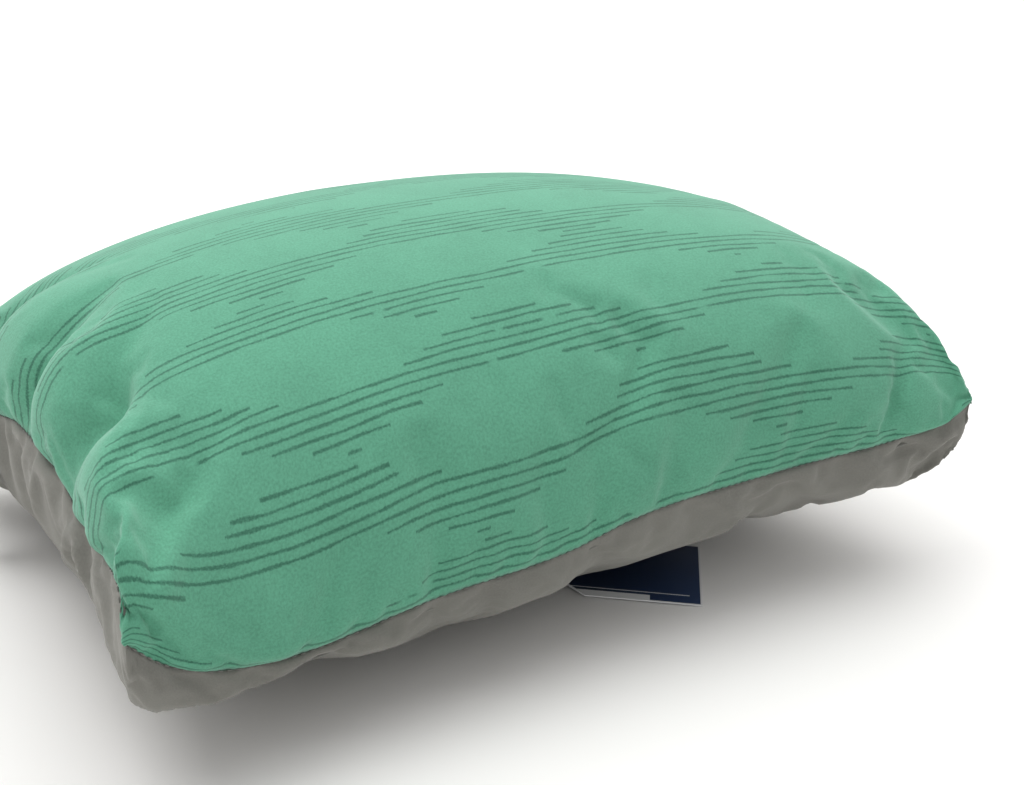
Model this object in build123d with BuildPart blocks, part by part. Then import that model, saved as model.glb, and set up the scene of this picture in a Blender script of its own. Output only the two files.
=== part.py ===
"""Stuffed camp pillow with a drawcord end, as separate pieces, in millimetres.

+X runs along the length, +Y across the width, +Z up. The origin is on the resting
plane under the middle of the pillow.
"""

import os
from math import cos, pi, radians, sin, sqrt, tan

from build123d import *

# Stuffed envelope
HALF_LENGTH = 218.0  # middle to the short side's seam corners, before they are rounded
HALF_WIDTH = 168.0  # middle to the long side's seam corners, before they are rounded
HEIGHT = 175.0  # resting plane to crown
SEAM_Z = 70.0  # height of the sewn edge
END_PULL = 13.0  # how far a short side pulls in between its corners
SIDE_PULL = 12.0  # how far a long side pulls in between its corners
CORNER_RADIUS = 16.0

# Resting patch of the underside
BASE_HALF_LENGTH = 100.0
BASE_HALF_WIDTH = 42.0
BASE_SHIFT = 18.0  # the patch sits this far behind the middle
BASE_CORNER_DRAW = 0.22  # how much nearer its corners are than its sides

# Sewing
FABRIC = 1.0  # panel thickness
SEAM_ALLOWANCE = 8.0  # turned-in edge of both panels
OVERLOCK_WIDTH = 3.5
OVERLOCK_WRAP = 0.5  # thread thickness over the turned-in edge

# Loose foam filling
FILL_GAP = 0.6  # between the fabric and the foam
BLOCK_GAP = 7.0  # air between foam blocks
BLOCK_PITCH = (70.0, 62.0, 58.0)
SMALLEST_BLOCK = 6000.0  # cubic millimetres; thinner scraps at the edge are left out
GROOVE_MARGIN = 5.0  # the foam keeps this far from the seam and the cord channel

# Drawcord along the short end at -X
CORD_RADIUS = 1.2
CORD_Z = 58.0
CORD_INSET = 11.0  # wall to channel, inside the pillow
CHANNEL_INNER = 2.2
CHANNEL_OUTER = 3.2
CHANNEL_REACH = 128.0  # the cord is tacked down this far from the middle
NEAR_CHANNEL_Y = (-CHANNEL_REACH, -86.0, -42.0, 0.0, 40.0)
FAR_CHANNEL_Y = (CHANNEL_REACH, 112.0, 96.0)
CHANNEL_STOP = 10.0  # each half of the channel ends this far from the eyelet
INNER_BEND = 4.0  # the cord's bends inside and outside the eyelet
OUTER_BEND = 5.0
LARGEST_BEND = 60.0
TACK_LENGTH = 3.0
LOCK_Y = 74.0  # far enough back that the lock hangs beside the end wall, out of the corner folds
LEG_SPACING = 2.8
LEG_X = -208.9
LEG_END_Z = 18.0
EXIT_TILT = 21.0  # the cord leaves this many degrees below level
EYELET_HOLE = 3.4
EYELET_BARREL = 4.2
EYELET_FLANGE = 6.2
EYELET_FOOT = 0.6  # underside of the flange, off the wall's surface
EYELET_CAP = 0.8  # flange thickness
EYELET_DEPTH = 3.3  # barrel, from the flange inwards
WASHER_SEAT = -2.8
WASHER_THICKNESS = 0.6

# Spring lock on the cord
LOCK_Z = 42.5
BARREL_RADIUS = 6.2
BORE_RADIUS = 4.9
BARREL_BACK = -12.7  # ends of the barrel, measured from the cord
BARREL_FRONT = 8.2
BARREL_END_WALL = 1.2
SLOT_HALF_WIDTH = 1.6
SLOT_HALF_LENGTH = 3.0
PLUNGER_RADIUS = 4.6
PLUNGER_BACK = -5.3
PLUNGER_TRAVEL = 3.5
BUTTON_RADIUS = 5.6
BUTTON_HEIGHT = 2.5
SPRING_RADIUS = 3.4
SPRING_WIRE = 0.3
SPRING_TURNS = 3

# Swing tag and its loop
TAG_CORNER = (67.2, -142.3)
TAG_ANGLE = 51.8  # its lower edge, from +X
TAG_WIDTH = 62.0
TAG_HEIGHT = 70.0
TAG_THICKNESS = 0.5
TAG_CLIP = 14.0  # cut-off upper corners
TAG_LIFT = 1.4  # its upper edge hangs this high
TAG_HOLE_RADIUS = 1.6
TAG_HOLE_DROP = 4.5  # hole to upper edge
LOOP_WIRE = 0.35
LOOP_TOP_Z = 15.5

# Sewn-in label
LABEL_SIZE = (30.0, 40.0)
LABEL_THICKNESS = 0.4
LABEL_X = 118.0
LABEL_GAP = 1.9  # stands this far off the seam line

DOME_LEVELS = (0.0, 0.12, 0.32, 0.52, 0.72, 0.88, 0.96)
DOME_CAP = 0.985
BOWL_LEVELS = (0.0, 0.2, 0.42, 0.64, 0.82, 0.94, 1.0)


def outline(height, half_length, half_width, corner, end_pull, side_pull, radius, shift=0.0):
    """Four-sided outline with bowed sides and round corners, as a face at a height."""
    corner_x = half_length * corner
    corner_y = half_width * corner
    left = (-(half_length - end_pull), shift)
    right = (half_length - end_pull, shift)
    front = (0, shift - half_width + side_pull)
    back = (0, shift + half_width - side_pull)
    corners = [
        (-corner_x, shift - corner_y),
        (corner_x, shift - corner_y),
        (corner_x, shift + corner_y),
        (-corner_x, shift + corner_y),
    ]
    with BuildSketch(Plane.XY.offset(height)) as section:
        with BuildLine():
            ThreePointArc(corners[0], front, corners[1])
            ThreePointArc(corners[1], right, corners[2])
            ThreePointArc(corners[2], back, corners[3])
            ThreePointArc(corners[3], left, corners[0])
        make_face()
        fillet(section.vertices(), radius)
    return section.sketch.face()


def seam_outline(height, inset):
    """The sewn edge's outline, moved inwards."""
    return outline(
        height,
        HALF_LENGTH - inset,
        HALF_WIDTH - inset,
        1.0,
        END_PULL,
        SIDE_PULL,
        CORNER_RADIUS,
    )


def seam_ring(height, outer_inset, inner_inset):
    """A flat band along the sewn edge."""
    with BuildSketch(Plane.XY.offset(height)) as band:
        add(seam_outline(0, outer_inset))
        add(seam_outline(0, inner_inset), mode=Mode.SUBTRACT)
    return band.sketch


def dome_sections(inset):
    """Outlines of the upper half from the seam to the crown, moved inwards."""
    sections = []
    for level in (*DOME_LEVELS, DOME_CAP):
        reach = (1 - level**3.4) ** 0.41
        corner = (1 - sqrt(level) ** 3.4) ** 0.41 / reach
        half_length = (HALF_LENGTH - inset) * reach
        half_width = (HALF_WIDTH - inset) * reach
        round_corner = CORNER_RADIUS + (0.5 * half_width - CORNER_RADIUS) * level
        sections.append(
            outline(
                SEAM_Z + (HEIGHT - SEAM_Z - inset) * level / DOME_CAP,
                half_length,
                half_width,
                corner,
                END_PULL * (1 - level),
                SIDE_PULL * (1 - level),
                round_corner,
            )
        )
    return sections


def bowl_reach(depth):
    """Share of the seam's overhang that is left at a depth of 0 (seam) to 1 (base)."""
    return (1 - depth**2) ** (1 / 1.5)


def bowl_half_length(depth):
    return BASE_HALF_LENGTH + (HALF_LENGTH - BASE_HALF_LENGTH) * bowl_reach(depth)


def bowl_half_width(depth):
    return BASE_HALF_WIDTH + (HALF_WIDTH - BASE_HALF_WIDTH) * bowl_reach(depth)


def bowl_sections(inset):
    """Outlines of the lower half from the seam to the resting patch, moved inwards."""
    sections = []
    for depth in BOWL_LEVELS:
        half_width = bowl_half_width(depth) - inset
        round_corner = CORNER_RADIUS + (0.5 * half_width - CORNER_RADIUS) * depth
        sections.append(
            outline(
                SEAM_Z - (SEAM_Z - inset) * depth,
                bowl_half_length(depth) - inset,
                half_width,
                1 - BASE_CORNER_DRAW * depth,
                END_PULL * (1 - depth),
                SIDE_PULL * (1 - depth),
                round_corner,
                BASE_SHIFT * depth,
            )
        )
    return sections


def end_wall_x(y, z):
    """Outside of the short end below the seam."""
    depth = 1 - z / SEAM_Z
    corner = 1 - BASE_CORNER_DRAW * depth
    middle_x = bowl_half_length(depth) - END_PULL * (1 - depth)
    corner_x = bowl_half_length(depth) * corner
    corner_y = bowl_half_width(depth) * corner
    return -(middle_x + (corner_x - middle_x) * (y / corner_y) ** 2)


def channel_point(y):
    """A point on the middle line of the cord channel."""
    return (end_wall_x(y, CORD_Z) + CORD_INSET, y, CORD_Z)


def smooth_path_radii(points):
    """The largest arc that each corner of a route leaves room for."""
    radii = []
    for before, here, after in zip(points, points[1:], points[2:]):
        first = Vector(here) - Vector(before)
        second = Vector(after) - Vector(here)
        turn = radians(first.get_angle(second))
        radii.append(0.45 * min(first.length, second.length) / tan(turn / 2))
    return radii


# Outer fabric
with BuildPart() as top_panel:
    loft(dome_sections(0))
    loft(dome_sections(FABRIC), mode=Mode.SUBTRACT)
    extrude(seam_ring(SEAM_Z, FABRIC / 2, SEAM_ALLOWANCE), amount=FABRIC)
top_panel.part.label = "top_panel"

exit_direction = Vector(-cos(radians(EXIT_TILT)), 0, -sin(radians(EXIT_TILT)))
eyelet_z = CORD_Z - CORD_INSET * tan(radians(EXIT_TILT))
eyelet_plane = Plane(
    origin=(end_wall_x(LOCK_Y, eyelet_z), LOCK_Y, eyelet_z),
    x_dir=(0, 1, 0),
    z_dir=exit_direction,
)

tag_turn = radians(TAG_ANGLE)
tag_slope = TAG_LIFT / TAG_HEIGHT
tag_across = Vector(cos(tag_turn), sin(tag_turn), 0)
tag_up_flat = Vector(-sin(tag_turn), cos(tag_turn), 0)
tag_up = (tag_up_flat + Vector(0, 0, tag_slope)).normalized()
tag_origin = Vector(TAG_CORNER[0], TAG_CORNER[1], 0)
tag_plane = Plane(origin=tag_origin, x_dir=tag_across, z_dir=tag_across.cross(tag_up))
tag_hole = Vector(TAG_WIDTH / 2, TAG_HEIGHT - TAG_HOLE_DROP)
loop_reach = TAG_HOLE_DROP + TAG_HOLE_RADIUS
loop_start = tag_plane.from_local_coords(Vector(tag_hole.X, tag_hole.Y, 0))
loop_end = loop_start + tag_up_flat * loop_reach
loop_floor_z = LOOP_WIRE + 0.1

with BuildPart() as bottom_panel:
    loft(bowl_sections(0))
    loft(bowl_sections(FABRIC), mode=Mode.SUBTRACT)
    extrude(seam_ring(SEAM_Z, FABRIC / 2, SEAM_ALLOWANCE), amount=-FABRIC)
    with BuildSketch(eyelet_plane.offset(4)):
        Circle(EYELET_BARREL + 0.2)
    extrude(amount=-12, mode=Mode.SUBTRACT)
    with BuildSketch():
        with Locations((loop_start.X, loop_start.Y), (loop_end.X, loop_end.Y)):
            Circle(LOOP_WIRE + 0.25)
    extrude(amount=LOOP_TOP_Z + 4, mode=Mode.SUBTRACT)
bottom_panel.part.label = "bottom_panel"

# Overlock thread, wrapped over the turned-in edge of both panels
overlock_start = SEAM_ALLOWANCE + OVERLOCK_WRAP - OVERLOCK_WIDTH
with BuildPart() as seam_thread:
    extrude(
        seam_ring(
            SEAM_Z - FABRIC - OVERLOCK_WRAP, overlock_start, SEAM_ALLOWANCE + OVERLOCK_WRAP
        ),
        amount=2 * (FABRIC + OVERLOCK_WRAP),
    )
    extrude(
        seam_ring(SEAM_Z - FABRIC, overlock_start - 1, SEAM_ALLOWANCE),
        amount=2 * FABRIC,
        mode=Mode.SUBTRACT,
    )
seam_thread.part.label = "seam_thread"

# Foam filling: blocks with air between them, cut to the inside of the cover
fill_inset = FABRIC + FILL_GAP
groove_inset = CORD_INSET + CHANNEL_OUTER + END_PULL
groove_floor = CORD_Z - CHANNEL_OUTER - 2 * GROOVE_MARGIN
with BuildPart() as foam_fill:
    loft(dome_sections(fill_inset))
    loft(bowl_sections(fill_inset))
    extrude(
        seam_ring(groove_floor, 0, groove_inset),
        amount=SEAM_Z + GROOVE_MARGIN - groove_floor,
        mode=Mode.SUBTRACT,
    )
    with Locations((loop_start + loop_end) * 0.5):
        Cylinder(loop_reach, 2 * LOOP_TOP_Z + 3, mode=Mode.SUBTRACT)
    for step in (-2.5, -1.5, -0.5, 0.5, 1.5, 2.5):
        with Locations((step * BLOCK_PITCH[0], 0, HEIGHT / 2)):
            Box(BLOCK_GAP, 2 * HALF_WIDTH, HEIGHT, mode=Mode.SUBTRACT)
    for step in (-1.5, -0.5, 0.5, 1.5):
        with Locations((0, step * BLOCK_PITCH[1], HEIGHT / 2)):
            Box(2 * HALF_LENGTH, BLOCK_GAP, HEIGHT, mode=Mode.SUBTRACT)
    for step in (1, 2):
        with Locations((0, 0, step * BLOCK_PITCH[2])):
            Box(2 * HALF_LENGTH, 2 * HALF_WIDTH, BLOCK_GAP, mode=Mode.SUBTRACT)
foam_blocks = [block for block in foam_fill.solids() if block.volume > SMALLEST_BLOCK]
foam = Compound(label="foam_fill", children=foam_blocks)

# Drawcord: each half is tacked near a corner, runs in its channel and comes out at the eyelet
near_leg_y = LOCK_Y - LEG_SPACING / 2
far_leg_y = LOCK_Y + LEG_SPACING / 2
turn_x = end_wall_x(LOCK_Y, CORD_Z) + CORD_INSET
near_line = [channel_point(y) for y in NEAR_CHANNEL_Y]
far_line = [channel_point(y) for y in FAR_CHANNEL_Y]


def leg_points(leg_y):
    """The last corners of a cord half: inside, outside and hanging end."""
    drop = tan(radians(EXIT_TILT)) * (turn_x - LEG_X)
    return [
        (turn_x, leg_y, CORD_Z),
        (LEG_X, leg_y, CORD_Z - drop),
        (LEG_X, leg_y, LEG_END_Z),
    ]


cord_halves = []
cord_names = ("near", "far")
for name, line, leg_y in zip(cord_names, (near_line, far_line), (near_leg_y, far_leg_y)):
    points = line + leg_points(leg_y)
    radii = smooth_path_radii(points)
    radii[-2:] = [INNER_BEND, OUTER_BEND]
    radii[-3] = min(radii[-3], LARGEST_BEND)
    with BuildPart() as cord_half:
        with BuildLine() as route:
            FilletPolyline(*points, radius=radii)
        with BuildSketch(Plane(origin=route.line @ 0, z_dir=route.line % 0)):
            Circle(CORD_RADIUS)
        sweep()
    cord_halves.append(cord_half.part.solid())
    route_length = route.wire().length
    print(
        f"drawcord {name}: radii {[round(r, 1) for r in radii]}, length {route_length:.1f},"
        f" volume {cord_half.part.volume:.1f} for {pi * CORD_RADIUS**2 * route_length:.1f}"
    )
drawcord = Compound(label="drawcord", children=cord_halves)

channel_halves = []
near_channel = near_line + [channel_point(LOCK_Y - CHANNEL_STOP)]
far_channel = far_line + [channel_point(LOCK_Y + CHANNEL_STOP)]
for line in (near_channel, far_channel):
    with BuildPart() as channel_half:
        with BuildLine() as route:
            FilletPolyline(*line, radius=smooth_path_radii(line))
        with BuildSketch(Plane(origin=route.line @ 0, z_dir=route.line % 0)):
            Circle(CHANNEL_OUTER)
            Circle(CHANNEL_INNER, mode=Mode.SUBTRACT)
        sweep()
    channel_halves.append(channel_half.part.solid())
cord_channel = Compound(label="cord_channel", children=channel_halves)

# Bar tacks that close each end of the channel over the cord's end
with BuildPart() as cord_tacks:
    for side in (-1, 1):
        tack_y = side * (CHANNEL_REACH + TACK_LENGTH / 2 + 0.3)
        tack_x = channel_point(tack_y)[0]
        with Locations((tack_x, tack_y, CORD_Z)):
            Box(2 * CHANNEL_OUTER, TACK_LENGTH, 2 * CHANNEL_OUTER)
cord_tacks.part.label = "cord_tacks"

# Two-part metal eyelet in the bottom panel
with BuildPart() as cord_eyelet:
    with BuildSketch(eyelet_plane.offset(EYELET_FOOT)):
        Circle(EYELET_FLANGE)
        Circle(EYELET_HOLE, mode=Mode.SUBTRACT)
    extrude(amount=EYELET_CAP)
    with BuildSketch(eyelet_plane.offset(EYELET_FOOT)):
        Circle(EYELET_BARREL)
        Circle(EYELET_HOLE, mode=Mode.SUBTRACT)
    extrude(amount=-EYELET_DEPTH)
    fillet(cord_eyelet.edges().filter_by(GeomType.CIRCLE).group_by(SortBy.RADIUS)[-1], 0.35)
cord_eyelet.part.label = "cord_eyelet"

with BuildPart() as eyelet_washer:
    with BuildSketch(eyelet_plane.offset(WASHER_SEAT)):
        Circle(EYELET_FLANGE)
        Circle(EYELET_BARREL, mode=Mode.SUBTRACT)
    extrude(amount=WASHER_THICKNESS)
eyelet_washer.part.label = "eyelet_washer"

# Cord lock: barrel and plunger lie along Y, the cord passes through them along Z
lock_plane = Plane(origin=(LEG_X, LOCK_Y, LOCK_Z), x_dir=(1, 0, 0), z_dir=(0, 1, 0))
slot_plane = Plane(origin=(LEG_X, LOCK_Y, LOCK_Z), x_dir=(1, 0, 0), z_dir=(0, 0, 1))
button_foot = BARREL_FRONT + PLUNGER_TRAVEL + 0.2

with BuildPart() as lock_barrel:
    with BuildSketch(lock_plane.offset(BARREL_BACK)):
        Circle(BARREL_RADIUS)
    extrude(amount=BARREL_FRONT - BARREL_BACK)
    fillet(lock_barrel.edges().group_by(Axis.Y)[0], 1.0)
    fillet(lock_barrel.edges().group_by(Axis.Y)[-1], 0.5)
    with BuildSketch(lock_plane.offset(BARREL_BACK + BARREL_END_WALL)):
        Circle(BORE_RADIUS)
    extrude(amount=BARREL_FRONT - BARREL_BACK, mode=Mode.SUBTRACT)
    with BuildSketch(slot_plane.offset(-BARREL_RADIUS - 1)):
        Rectangle(2 * SLOT_HALF_WIDTH, 2 * SLOT_HALF_LENGTH)
    extrude(amount=2 * BARREL_RADIUS + 2, mode=Mode.SUBTRACT)
lock_barrel.part.label = "lock_barrel"

with BuildPart() as lock_plunger:
    with BuildSketch(lock_plane.offset(PLUNGER_BACK)):
        Circle(PLUNGER_RADIUS)
    extrude(amount=button_foot - PLUNGER_BACK)
    with BuildSketch(lock_plane.offset(button_foot)):
        Circle(BUTTON_RADIUS)
    extrude(amount=BUTTON_HEIGHT)
    fillet(lock_plunger.edges().group_by(Axis.Y)[-1], 1.0)
    with BuildSketch(slot_plane.offset(-BARREL_RADIUS - 1)):
        with Locations((0, PLUNGER_TRAVEL / 2 + 0.2)):
            Rectangle(2 * SLOT_HALF_WIDTH, 2 * SLOT_HALF_LENGTH + PLUNGER_TRAVEL)
    extrude(amount=2 * BARREL_RADIUS + 2, mode=Mode.SUBTRACT)
lock_plunger.part.label = "lock_plunger"

spring_back = BARREL_BACK + BARREL_END_WALL + SPRING_WIRE
spring_length = PLUNGER_BACK - SPRING_WIRE - spring_back
with BuildPart() as lock_spring:
    with BuildLine() as coil:
        Helix(
            pitch=spring_length / SPRING_TURNS,
            height=spring_length,
            radius=SPRING_RADIUS,
            center=(LEG_X, LOCK_Y + spring_back, LOCK_Z),
            direction=(0, 1, 0),
        )
    with BuildSketch(Plane(origin=coil.line @ 0, z_dir=coil.line % 0)):
        Circle(SPRING_WIRE)
    sweep(is_frenet=True)
lock_spring.part.label = "lock_spring"

# Moulded end that both cord ends are clamped in
with BuildPart() as cord_end:
    with Locations((LEG_X, LOCK_Y, LEG_END_Z + 1.0)):
        Box(5.0, 9.0, 10.0)
    fillet(cord_end.edges(), 1.2)
    with BuildSketch(Plane.XY.offset(LEG_END_Z)):
        with Locations((LEG_X, near_leg_y), (LEG_X, far_leg_y)):
            Circle(CORD_RADIUS)
    extrude(amount=10, mode=Mode.SUBTRACT)
cord_end.part.label = "cord_end"

# Sewn-in label, hanging from the seam at the back
label_wall_y = HALF_WIDTH - SIDE_PULL * (1 - (LABEL_X / HALF_LENGTH) ** 2)
with BuildPart() as care_label:
    with BuildSketch(
        Plane(origin=(LABEL_X, label_wall_y + LABEL_GAP, SEAM_Z), x_dir=(-1, 0, 0), z_dir=(0, 1, 0))
    ):
        with Locations((0, -LABEL_SIZE[1] / 2)):
            RectangleRounded(LABEL_SIZE[0], LABEL_SIZE[1], 1.5)
    extrude(amount=LABEL_THICKNESS)
care_label.part.label = "care_label"

# Card swing tag, lying under the front edge, and the loop that it hangs on
with BuildPart() as hang_tag:
    with BuildSketch(tag_plane) as tag_shape:
        with Locations((TAG_WIDTH / 2, TAG_HEIGHT / 2)):
            Rectangle(TAG_WIDTH, TAG_HEIGHT)
        chamfer(tag_shape.vertices().group_by(Axis.Y)[-1], TAG_CLIP)
        with Locations((tag_hole.X, tag_hole.Y)):
            Circle(TAG_HOLE_RADIUS, mode=Mode.SUBTRACT)
    extrude(amount=TAG_THICKNESS)
hang_tag.part.label = "hang_tag"

loop_middle = (loop_start + loop_end) * 0.5
loop_plane = Plane(
    origin=(loop_middle.X, loop_middle.Y, 0),
    x_dir=tag_up_flat,
    z_dir=tag_up_flat.cross(Vector(0, 0, 1)),
)
loop_half = loop_reach / 2
with BuildPart() as tag_loop:
    with BuildLine(loop_plane) as loop_route:
        FilletPolyline(
            (-loop_half, loop_floor_z),
            (loop_half, loop_floor_z),
            (loop_half, LOOP_TOP_Z),
            (-loop_half, LOOP_TOP_Z),
            radius=1.2,
            close=True,
        )
    with BuildSketch(Plane(origin=loop_route.line @ 0, z_dir=loop_route.line % 0)):
        Circle(LOOP_WIRE)
    sweep()
tag_loop.part.label = "tag_loop"

pieces = [
    top_panel.part,
    bottom_panel.part,
    seam_thread.part,
    foam,
    cord_channel,
    drawcord,
    cord_tacks.part,
    cord_eyelet.part,
    eyelet_washer.part,
    lock_barrel.part,
    lock_plunger.part,
    lock_spring.part,
    cord_end.part,
    care_label.part,
    hang_tag.part,
    tag_loop.part,
]
os.makedirs("parts", exist_ok=True)
for piece in pieces:
    export_step(piece, f"parts/{piece.label}.step")

everything = Compound(children=pieces).bounding_box()
print(f"box {everything.min} to {everything.max}")
print(f"tag hinge {loop_start + Vector(0, 0, TAG_THICKNESS / 2)} along {tag_across}")
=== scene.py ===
"""Camp pillow: fabric panels, seam, foam, drawcord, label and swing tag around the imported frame."""

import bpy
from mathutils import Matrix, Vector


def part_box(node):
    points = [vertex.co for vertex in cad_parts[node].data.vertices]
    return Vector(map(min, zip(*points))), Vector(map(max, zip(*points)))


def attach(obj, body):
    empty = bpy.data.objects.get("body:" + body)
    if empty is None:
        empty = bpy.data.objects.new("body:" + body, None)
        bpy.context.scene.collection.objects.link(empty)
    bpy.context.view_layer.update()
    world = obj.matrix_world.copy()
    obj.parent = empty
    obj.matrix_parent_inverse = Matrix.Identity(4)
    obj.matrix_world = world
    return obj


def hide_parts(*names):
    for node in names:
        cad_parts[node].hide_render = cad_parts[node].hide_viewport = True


bl_info = {
    "name": "Camp pillow builder",
    "version": (1, 0, 0),
    "blender": (4, 5, 0),
    "location": "View3D > Sidebar > Camp pillow",
    "description": "Builds a two-sided stuffable camp pillow piece by piece",
    "category": "Add Mesh",
}

import bmesh
import bpy
import numpy as np
from mathutils import Matrix, Vector, noise

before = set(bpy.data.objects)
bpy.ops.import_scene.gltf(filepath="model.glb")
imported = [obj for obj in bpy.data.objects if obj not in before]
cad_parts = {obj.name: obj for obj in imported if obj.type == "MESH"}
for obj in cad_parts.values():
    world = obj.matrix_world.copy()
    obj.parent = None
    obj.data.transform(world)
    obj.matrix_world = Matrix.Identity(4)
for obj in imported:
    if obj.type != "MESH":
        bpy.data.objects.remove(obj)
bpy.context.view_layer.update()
MM = 0.001

# Rounding of the crown: its shoulders, then its flanks
CROWN_ROUNDING = (2.448, 3.373)
# Rounding of the base's left and right ends, and of its near and far sides
LEFT_END_ROUNDING = (3.0, 0.25)
RIGHT_END_ROUNDING = (2.4, 0.31)
NEAR_SIDE_ROUNDING = (2.2, 0.42)
FAR_SIDE_ROUNDING = (2.4, 0.30)
# How far behind the middle the base is deepest, as a share of the half width
REST_SHIFT = 0.11
# How far the base would sink below the floor if the floor didn't flatten it (mm)
REST_SINK = 3.0
# Mean drop of the base, which spaces its mesh along the cloth
BASE_DROP = 0.075
# How much a corner of the sewn edge is rounded off (mm), and how sharply
CORNER_CUT = 2.5
CORNER_SHARPNESS = 14
# How far into the panels the rise and fall of the sewn edge reaches (mm)
SEAM_REACH = 38.0

# Corner heights of the sewn edge: near left, near right, far right, far left (mm)
CORNER_HEIGHTS = (56.0, 87.0, 54.0, 42.0)
# How far the sewn edge bows up (+) or sags (-) between its corners: near, far, left, right (mm)
EDGE_BOWS = (-14.0, 20.0, 36.0, 23.0)
# How far the sides pull in between the corners: near, far, left, right (mm)
EDGE_PULLS = (12.0, 8.0, 13.5, 9.0)
# The sewn edge as it really runs, (share of the side, height in mm)
NEAR_SEAM = (
    (-1.0, 74), (-0.93, 61), (-0.85, 52), (-0.67, 46), (-0.39, 52), (-0.1, 56),
    (0.08, 64), (0.45, 68), (0.8, 71), (0.93, 77), (1.0, 83),
)
LEFT_SEAM = (
    (-1.0, 74), (-0.93, 92), (-0.8, 88), (-0.5, 84), (-0.33, 91), (0.03, 92),
    (0.27, 84), (0.7, 64), (1.0, 45),
)

# Folds in the top: height, reach (mm) and the points that each runs through (mm)
TOP_FOLDS = (
    (-15, 10, ((-204, -146, 86), (-190, -136, 101), (-176, -128, 111), (-154, -112, 126))),
    (7, 9, ((-208, -160, 80), (-197, -154, 92), (-184, -146, 104), (-166, -132, 118))),
    (-14, 11, ((-204, -74, 90), (-190, -77, 123), (-179, -62, 135), (-150, -32, 153))),
    (-12, 11, ((-204, 2, 90), (-197, -14, 118), (-184, -8, 137), (-160, -2, 150))),
    (-12, 11, ((-204, 74, 78), (-191, 72, 114), (-178, 60, 130), (-150, 40, 150))),
    (-13, 10, ((-208, 140, 60), (-194, 130, 90), (-178, 122, 104), (-155, 108, 120))),
    (-3, 7, ((-204, -110, 88), (-194, -108, 110), (-184, -100, 122))),
    (-7, 7, ((160, -160, 74), (170, -158, 100), (184, -150, 118))),
    (-6, 10, ((206, -90, 92), (194, -84, 122), (176, -70, 140))),
    (-7, 10, ((206, -14, 94), (196, -10, 124), (172, -6, 146))),
    (-6, 10, ((207, 62, 80), (196, 58, 112), (174, 48, 138))),
    (-6, 9, ((209, 128, 64), (196, 120, 92), (176, 110, 112))),
    (5, 16, ((-202, -112, 96), (-188, -104, 120), (-168, -88, 138))),
    (5, 16, ((-200, -36, 100), (-184, -38, 132), (-160, -22, 150))),
    (5, 16, ((-200, 38, 96), (-184, 34, 128), (-160, 22, 148))),
    (-2.5, 6, ((-139, -160, 50), (-132, -160, 68), (-122, -156, 84))),
    (-2.5, 6, ((-90, -158, 54), (-84, -158, 70), (-78, -154, 86))),
    (-2.5, 6, ((-10, -156, 60), (-2, -157, 78), (8, -152, 92))),
    (-2.5, 6, ((24, -156, 66), (32, -157, 82), (44, -152, 98))),
    (-2.5, 6, ((96, -157, 70), (104, -158, 88), (116, -152, 104))),
    (-1.5, 8, ((60, -156, 70), (84, -152, 96), (112, -140, 120), (136, -120, 140))),
    (-1.5, 8, ((-40, -156, 58), (-20, -154, 84), (10, -146, 108), (36, -130, 130))),
)
# Creases in the base, the same way
BASE_FOLDS = (
    (4.5, 4, ((-203, -80, 84), (-205, -62, 60), (-202, -42, 38))),
    (4.5, 4, ((-203, -80, 84), (-206, -90, 62), (-203, -104, 37))),
    (-4, 13, ((-204, -84, 70), (-206, -78, 52), (-200, -72, 34))),
    (7, 6, ((-199, -150, 34), (-203, -155, 44), (-208, -159, 62))),
    (-5, 14, ((-184, -150, 34), (-160, -150, 30), (-130, -150, 30), (-100, -150, 34))),
    (3, 4, ((-210, -160, 70), (-199, -161, 55), (-180, -158, 43), (-150, -156, 38))),
    (-7, 12, ((-203, 10, 86), (-205, 14, 72), (-203, 20, 58))),
    (3, 6, ((-203, -25, 86), (-206, -14, 64), (-202, 4, 42))),
    (-3, 9, ((-203, 40, 80), (-205, 44, 62), (-200, 50, 42))),
    (3.5, 6, ((-204, 96, 72), (-205, 104, 54), (-198, 112, 36))),
    (-2.5, 5, ((-139, -158, 46), (-134, -156, 38), (-124, -150, 28))),
    (-2.5, 5, ((-90, -157, 51), (-84, -154, 42), (-74, -148, 32))),
    (2.2, 5, ((-116, -158, 48), (-104, -155, 38), (-84, -148, 28))),
    (2.2, 5, ((-40, -156, 55), (-24, -153, 42), (0, -144, 30))),
    (-2.5, 5, ((-10, -156, 58), (0, -153, 46), (14, -146, 34))),
    (2.5, 5, ((60, -157, 66), (76, -154, 52), (100, -144, 38))),
    (-2.5, 5, ((96, -158, 68), (106, -155, 56), (124, -146, 42))),
    (-4, 6, ((178, -162, 72), (172, -158, 60), (164, -150, 48))),
    (3, 5, ((206, -158, 78), (196, -158, 66), (184, -150, 54))),
)
# Pressure of the fill on a panel, and the frames that the cloth settles in
FILL_PRESSURE = 1.6
SETTLING_FRAMES = 20
# Share of the overall swelling that is taken out again
SWELL_TAKEN_OUT = 0.85
# The near left corner, where the overlocked edge turns down and narrows, and how wide (m)
TURNED_CORNER = (-0.205, -0.155)
TURNED_CORNER_REACH = 0.03
# Room that the foam leaves: below the crown and above the base (mm), and shares of length and width
FOAM_INSET = 22.0
FOAM_LENGTH_SHARE = 0.87
FOAM_WIDTH_SHARE = 0.85
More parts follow.
